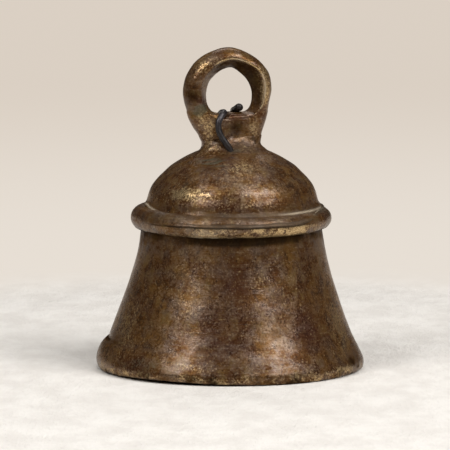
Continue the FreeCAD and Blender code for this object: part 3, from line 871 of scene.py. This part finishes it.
class Nodes:
    """A short way to write a material's nodes."""

    def __init__(self, name):
        self.material = bpy.data.materials.new(name)
        self.material.use_nodes = True
        self.tree = self.material.node_tree
        self.shader = self.tree.nodes["Principled BSDF"]

    def add(self, kind, inputs=None, **settings):
        node = self.tree.nodes.new(kind)
        for name, value in settings.items():
            setattr(node, name, value)
        for key, value in (inputs or {}).items():
            self.put(node.inputs[key], value)
        return node

    def put(self, socket, value):
        if isinstance(value, bpy.types.NodeSocket):
            self.tree.links.new(value, socket)
        else:
            socket.default_value = value

    def place(self, scale=(1, 1, 1), turn=(0, 0, 0)):
        """Positions on the object in millimetres, stretched by scale."""
        inputs = {"Vector": self.position(), "Scale": tuple(part / MM for part in scale), "Rotation": turn}
        return self.add("ShaderNodeMapping", inputs).outputs[0]

    def position(self):
        return self.add("ShaderNodeTexCoord").outputs["Object"]

    def noise(self, size, detail=5.0, rough=0.55, scale=(1, 1, 1), turn=(0, 0, 0), bend=0.0):
        """Noise with bumps of this size in millimetres."""
        inputs = {
            "Vector": self.place(scale, turn), "Scale": 1 / size, "Detail": detail, "Roughness": rough,
            "Distortion": bend,
        }
        return self.add("ShaderNodeTexNoise", inputs).outputs["Fac"]

    def ramp(self, value, start, end, low=0.0, high=1.0):
        """low before start, high after end."""
        inputs = {"Value": value, "From Min": start, "From Max": end, "To Min": low, "To Max": high}
        return self.add("ShaderNodeMapRange", inputs, interpolation_type="SMOOTHSTEP").outputs["Result"]

    def mark(self, name):
        return self.add("ShaderNodeAttribute", attribute_name=name).outputs["Fac"]

    def math(self, operation, first, second, clamp=False):
        node = self.add("ShaderNodeMath", {0: first, 1: second}, operation=operation, use_clamp=clamp)
        return node.outputs[0]

    def times(self, first, second):
        return self.math("MULTIPLY", first, second)

    def plus(self, first, second):
        return self.math("ADD", first, second)

    def mix(self, share, first, second, blend="MIX"):
        node = self.add("ShaderNodeMix", data_type="RGBA", blend_type=blend, clamp_factor=True)
        self.put(node.inputs[0], share)
        for socket, value in ((node.inputs[6], first), (node.inputs[7], second)):
            self.put(socket, value if isinstance(value, bpy.types.NodeSocket) else (*value, 1.0))
        return node.outputs[2]

    def bump(self, height, strength, distance, before=None):
        inputs = {"Height": height, "Strength": strength, "Distance": distance * MM}
        if before is not None:
            inputs["Normal"] = before
        return self.add("ShaderNodeBump", inputs).outputs["Normal"]

    def finish(self, **sockets):
        for name, value in sockets.items():
            socket = self.shader.inputs[name.replace("_", " ")]
            if isinstance(value, tuple) and len(value) == 3:
                value = (*value, 1.0)
            self.put(socket, value)
        return self.material


def old_brass():
    """Cast brass under a brown patina: mottled, scratched, and gold where it wears. The wear mark also
    carries painted highlights, the dirt mark painted shade, and the pale mark painted highlights as well
    as solder.
    """
    n = Nodes("old_brass")
    wear, dirt, red, green = n.mark("wear"), n.mark("dirt"), n.mark("red"), n.mark("green")
    grey, pale = n.mark("grey"), n.mark("pale")
    clouds = n.noise(8.0, detail=8.0, rough=0.62, bend=0.5)
    blotches = n.noise(2.8, detail=7.0, rough=0.62, bend=0.7, scale=(1, 1, 0.7))
    haze = n.noise(4.2, detail=7.0, rough=0.66, scale=(1, 1, 0.6))
    speckle = n.noise(0.62, detail=4.0, rough=0.65)
    grit = n.noise(0.33, detail=2.0, rough=0.6)
    scores = n.noise(1.0, detail=4.0, rough=0.55, scale=(0.16, 0.16, 3.6), turn=(0.0, 0.22, 0.0))
    scuffs = n.noise(1.3, detail=5.0, rough=0.6, scale=(0.10, 0.10, 5.0), turn=(0.0, -0.12, 0.3))
    rubs = n.noise(0.9, detail=5.0, rough=0.6, scale=(3.0, 3.0, 0.35), turn=(0.1, 0.0, 0.5))
    patches = n.noise(3.4, detail=7.0, rough=0.68, scale=(0.7, 0.7, 1.0))
    flecks = n.math("SUBTRACT", speckle, 0.5)
    rubbed_and_highlight = n.ramp(n.plus(n.times(wear, 0.90), n.times(flecks, 2.0)), 0.21, 0.84)
    bare_brass_and_highlight = n.mix(n.ramp(grit, 0.35, 0.62), WORN_BRASS, RUBBED_BRASS_AND_HIGHLIGHT)
    verdigris = n.ramp(n.plus(green, n.times(flecks, 1.2)), 0.20, 0.90)

    colour = n.mix(n.ramp(clouds, 0.40, 0.60), DARK_PATINA, GOLDEN_PATINA)
    for share, layer in (
        (n.ramp(blotches, 0.50, 0.68, 0, 0.75), OLIVE_PATINA),
        (n.ramp(blotches, 0.48, 0.32, 0, 0.8), UMBER_PATINA),
        (n.ramp(haze, 0.46, 0.66, 0, 0.55), LILAC_PATINA),
        (n.times(red, 0.85), RED_PATINA),
        (n.ramp(speckle, 0.55, 0.70, 0, 0.55), PALE_SPECKS),
        (n.ramp(speckle, 0.45, 0.30, 0, 0.75), DARK_SPECKS),
        (n.ramp(scuffs, 0.60, 0.70, 0, 0.5), PALE_SPECKS),
        (n.ramp(rubs, 0.60, 0.72, 0, 0.4), OLIVE_PATINA),
        # the gold of worn brass; the same gold also paints highlights
        (rubbed_and_highlight, bare_brass_and_highlight),
        (n.times(verdigris, 0.55), VERDIGRIS),
        # dark dirt; the same dark also paints shade under and between parts
        (n.times(dirt, 0.85), DIRT_AND_SHADE),
        (n.times(grey, 0.7), LEDGE_GREY),
        # pale solder; the same pale also paints highlights on the loop's ridge and the bead
        (pale, PALE_SOLDER_AND_HIGHLIGHT),
    ):
        colour = n.mix(share, colour, layer)

    clean = n.ramp(dirt, 0, 0.8, 1.0, 0.0)
    metal = n.times(n.ramp(rubbed_and_highlight, 0, 1, 0.42, 0.88), clean)
    sheen = n.plus(n.ramp(patches, 0.40, 0.62, 0.04, 1.5), n.ramp(scores, 0.56, 0.70, 0.0, 1.2))
    sheen = n.times(sheen, n.ramp(speckle, 0.40, 0.56, 0.6, 1.15))
    sheen = n.times(sheen, n.times(clean, n.ramp(grey, 0, 1, 1.0, 0.5)))
    gloss = n.plus(n.ramp(blotches, 0.3, 0.7, 0.24, 0.37), n.times(n.math("MAXIMUM", dirt, grey), 0.3))
    gloss = n.plus(gloss, n.ramp(scuffs, 0.55, 0.70, 0.0, -0.08))
    gloss = n.math("ADD", gloss, n.ramp(speckle, 0.4, 0.7, -0.05, 0.08), clamp=True)

    normal = n.bump(speckle, 0.45, 0.12)
    normal = n.bump(grit, 0.35, 0.06, normal)
    normal = n.bump(scores, 0.35, 0.06, normal)
    return n.finish(Base_Color=colour, Metallic=metal, Roughness=gloss, Normal=normal,
                    Specular_IOR_Level=sheen, Specular_Tint=EDGE_TINT)


def solder_metal():
    """Dull solder, pale where it is clean."""
    n = Nodes("old_solder")
    speckle = n.noise(0.6, detail=5.0, rough=0.65)
    colour = n.mix(n.ramp(speckle, 0.35, 0.65), DULL_SOLDER, GREY_SOLDER)
    colour = n.mix(n.times(n.mark("wear"), 0.75), colour, RUBBED_SOLDER)
    colour = n.mix(n.times(n.mark("dirt"), 0.85), colour, SOLDER_DIRT)
    return n.finish(Base_Color=colour, Metallic=0.7, Roughness=n.ramp(speckle, 0.3, 0.7, 0.38, 0.55),
                    Normal=n.bump(speckle, 0.5, 0.12))


def black_iron():
    """Blackened iron wire with a little brown rust."""
    n = Nodes("black_iron")
    grain = n.noise(0.7, detail=6.0, rough=0.6)
    fine = n.noise(0.25, detail=3.0)
    colour = n.mix(n.ramp(grain, 0.35, 0.7), BLACK_IRON, GREY_IRON)
    colour = n.mix(n.times(n.mark("rust"), 0.4), colour, RUST)
    colour = n.mix(n.times(n.mark("shine"), 0.5), colour, PAINTED_IRON_HIGHLIGHT)
    normal = n.bump(fine, 0.3, 0.04, n.bump(grain, 0.35, 0.08))
    return n.finish(Base_Color=colour, Metallic=0.6, Roughness=n.ramp(grain, 0.3, 0.7, 0.32, 0.50),
                    Normal=normal)


def studio_paper():
    """Off-white handmade paper under the bell, and a glowing beige backdrop further out, painted brighter
    near the paper and dimmer far away.
    """
    n = Nodes("studio_paper")
    paper_reach, backdrop_reach = 0.185, 0.265
    glow_start, glow_end = 0.24, 0.95
    lumps = n.noise(11.0, detail=6.0, rough=0.6, scale=(1, 0.6, 1))
    weave = n.noise(1.8, detail=6.0, rough=0.65, scale=(1, 0.45, 1))
    # painted shade and light on the paper's lumps: darker in the hollows, lighter on the crests
    paper = n.mix(n.ramp(lumps, 0.35, 0.65), PAPER_SHADED_HOLLOWS, PAPER_LIT_CRESTS)
    reach = n.add("ShaderNodeVectorMath", {0: n.position()}, operation="LENGTH").outputs["Value"]
    soft_edge = n.plus(reach, n.times(n.noise(60.0, detail=3.0), 0.05))
    beyond = n.ramp(soft_edge, paper_reach, backdrop_reach)
    # painted light: the backdrop glows, brighter near the paper than far away
    glow = n.mix(n.ramp(reach, glow_start, glow_end), BACKDROP_NEAR, BACKDROP_FAR)
    fade = n.ramp(beyond, 0, 1, 1, 0)
    normal = n.bump(weave, fade, 0.8, n.bump(lumps, n.times(fade, 0.7), 1.6))
    return n.finish(Base_Color=n.mix(beyond, paper, NO_COLOUR), Roughness=0.92,
                    Specular_IOR_Level=n.times(fade, 0.15), Normal=normal,
                    Emission_Color=glow, Emission_Strength=beyond)


# ---------------- assembly

PIECES = [
    (make_skirt, "bell_skirt", "bell", "cast_brass", "brass"),
    (make_bead, "shoulder_bead", "bell", "cast_brass", "brass"),
    (make_crown, "crown_dome", "bell", "cast_brass", "brass"),
    (make_solder, "seam_solder", "bell", "solder", "solder"),
    (make_loop, "suspension_loop", "bell", "cast_brass", "brass"),
    (make_braze, "neck_braze", "bell", "solder", "brass"),
    (make_wire, "hanger_wire", "bell", "black_iron", "iron"),
    (make_link, "clapper_link", "clapper_link", "black_iron", "iron"),
    (make_stem, "clapper_stem", "clapper", "black_iron", "iron"),
    (make_ball, "clapper_ball", "clapper", "clapper_brass", "brass"),
]


def assemble():
    finishes = {"brass": old_brass(), "solder": solder_metal(), "iron": black_iron()}
    for make, node, body, slot, finish in PIECES:
        piece = make()
        piece.data.materials.append(finishes[finish])
        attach(piece, body)
        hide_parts(node)


# ---------------- stage, light and camera

LAMP_AIM = np.array([0.0, 0.0, 0.045])
CAMERA_AIM = np.array([-0.0015, 0.0, 0.0430])
ROOM_COLOUR, ROOM_STRENGTH = (1.0, 0.97, 0.94, 1.0), 0.045


def make_stage():
    """A pale floor that runs out of the picture on every side."""
    reach = 8.0 / MM
    corners = np.array([(-reach, -reach, 0), (reach, -reach, 0), (reach, reach, 0), (-reach, reach, 0)])
    floor = make_mesh("stage_floor", corners, np.array([[0, 1, 2, 3]]))
    floor.data.materials.append(studio_paper())


def area_light(name, azimuth, elevation, distance, size, power, colour):
    """A soft box that faces the bell, azimuth degrees to the right of the camera."""
    light = bpy.data.lights.new(name, "AREA")
    light.shape, light.size, light.size_y = "RECTANGLE", size[0], size[1]
    light.energy, light.color = power, colour
    lamp = bpy.data.objects.new(name, light)
    a, e = math.radians(azimuth), math.radians(elevation)
    lamp.location = LAMP_AIM + distance * np.array([
        math.cos(e) * math.sin(a), -math.cos(e) * math.cos(a), math.sin(e)])
    lamp.rotation_euler = (math.pi / 2 - e, 0, a)
    bpy.context.scene.collection.objects.link(lamp)


def make_light():
    """Soft boxes at the left, right, top and back of the bell, and a dim warm room."""
    area_light("box_right", 50, 46, 1.0, (0.52, 0.62), 8.6, (1.0, 0.985, 0.97))
    area_light("box_left", -47, 44, 1.0, (0.28, 0.62), 5.2, (1.0, 0.985, 0.97))
    area_light("box_top", 0, 84, 1.1, (1.3, 1.0), 3.0, (1.0, 0.985, 0.96))
    area_light("box_back", 180, 48, 1.2, (0.60, 0.50), 2.4, (1.0, 0.985, 0.97))
    world = bpy.data.worlds.new("room")
    world.use_nodes = True
    background = world.node_tree.nodes["Background"]
    background.inputs["Color"].default_value = ROOM_COLOUR
    background.inputs["Strength"].default_value = ROOM_STRENGTH
    bpy.context.scene.world = world
    bpy.context.scene.view_settings.view_transform = "Standard"


def make_camera():
    """A long lens a little above the bell, which it looks down at by seven degrees."""
    elevation, distance = math.radians(6.9), 1.5
    frame_width, sensor = 0.1350, 36.0
    camera = bpy.data.cameras.new("camera")
    camera.sensor_width = sensor
    camera.lens = sensor * distance / frame_width
    camera.clip_end = 10
    lens = bpy.data.objects.new("camera", camera)
    lens.location = CAMERA_AIM + distance * np.array([0, -math.cos(elevation), math.sin(elevation)])
    lens.rotation_euler = (math.pi / 2 - elevation, 0, 0)
    bpy.context.scene.collection.objects.link(lens)
    bpy.context.scene.camera = lens


make_camera()
make_light()
make_stage()
assemble()
